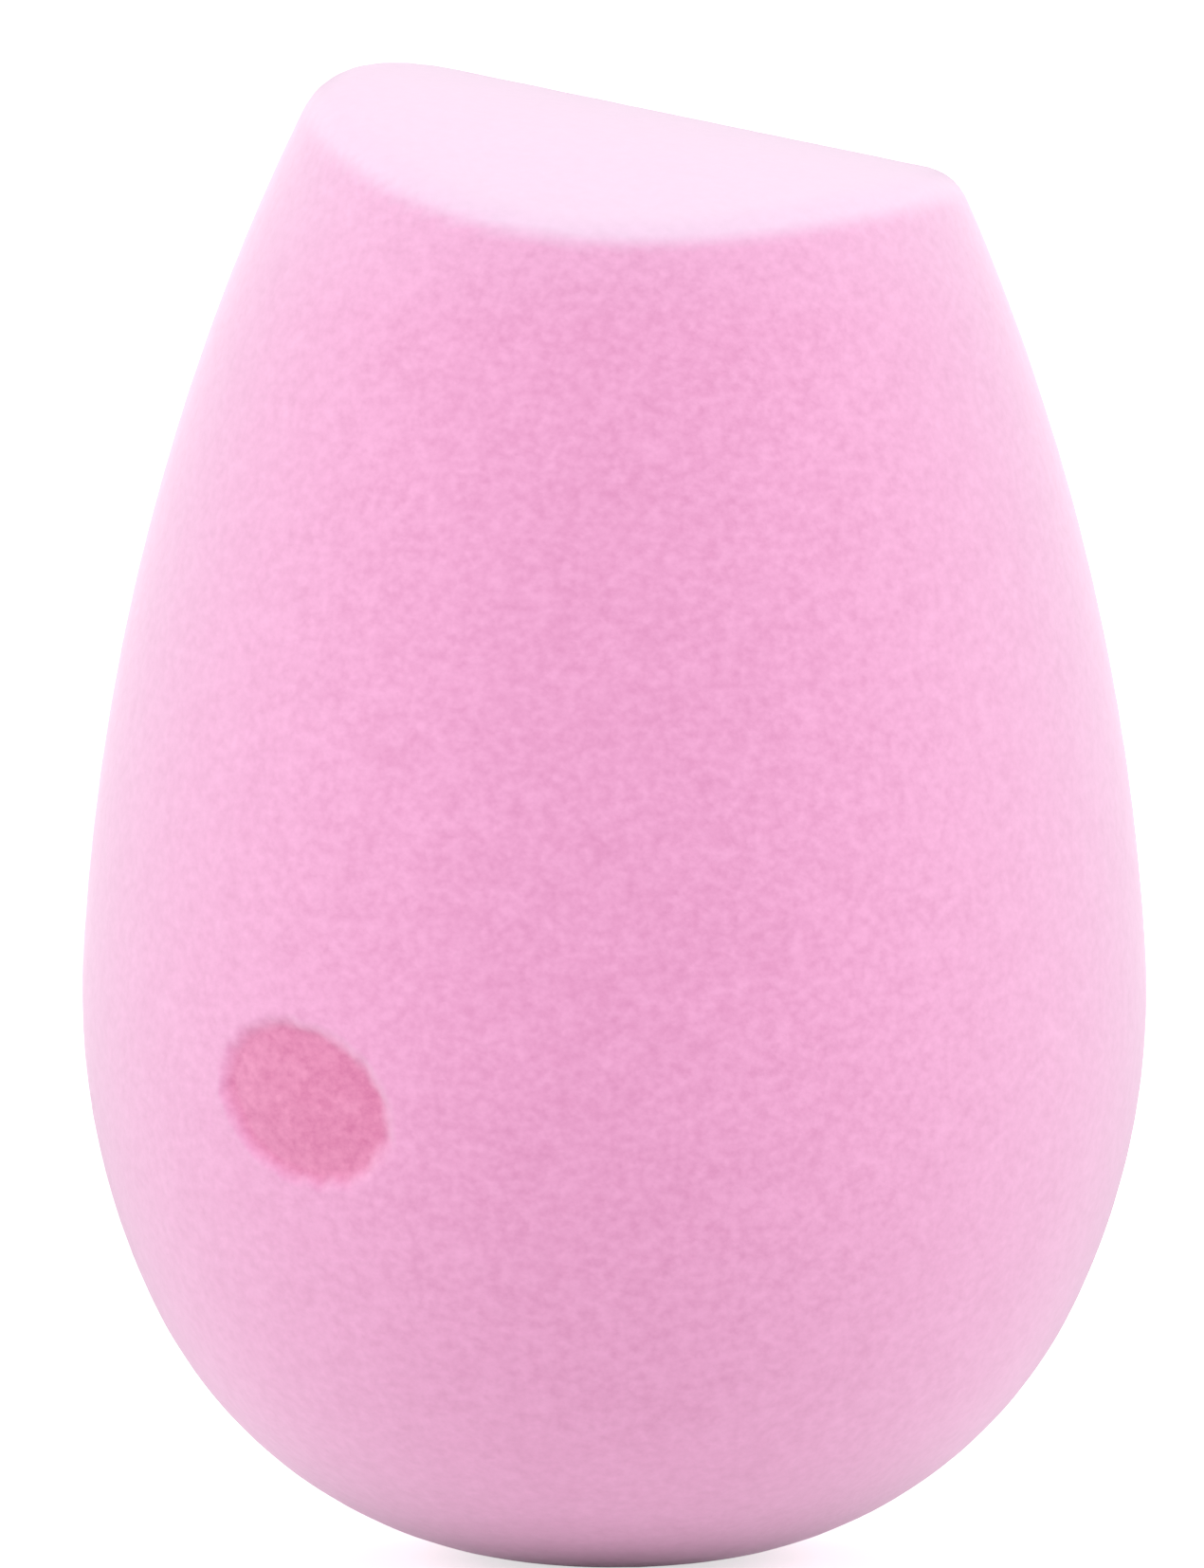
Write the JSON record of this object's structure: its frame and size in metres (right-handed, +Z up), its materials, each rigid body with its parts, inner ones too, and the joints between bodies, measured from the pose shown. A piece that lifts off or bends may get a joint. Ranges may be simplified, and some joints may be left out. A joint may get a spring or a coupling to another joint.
{
  "type": "makeup sponge",
  "caption": "Egg-shaped velvet makeup sponge with a slanted, softly rimmed top face, standing on a small flat: flock over glue over a foam core.",
  "frame": {"origin": "centre of the small flat at the round end that the sponge stands on", "axes": "+Z up along the egg's axis, +X the way the slanted top face falls"},
  "size_m": [0.043, 0.043, 0.0602],
  "materials": {
    "foam": "soft open-cell polyurethane foam, pale pink",
    "adhesive": "thin flexible flocking glue, milky pink",
    "flock": "short dense velvet flock, pink, with a pale sheen at grazing angles"
  },
  "bodies": {
    "root": {"foam_core": "foam", "adhesive_film": "adhesive", "flock_cover": "flock"}
  },
  "joints": []
}
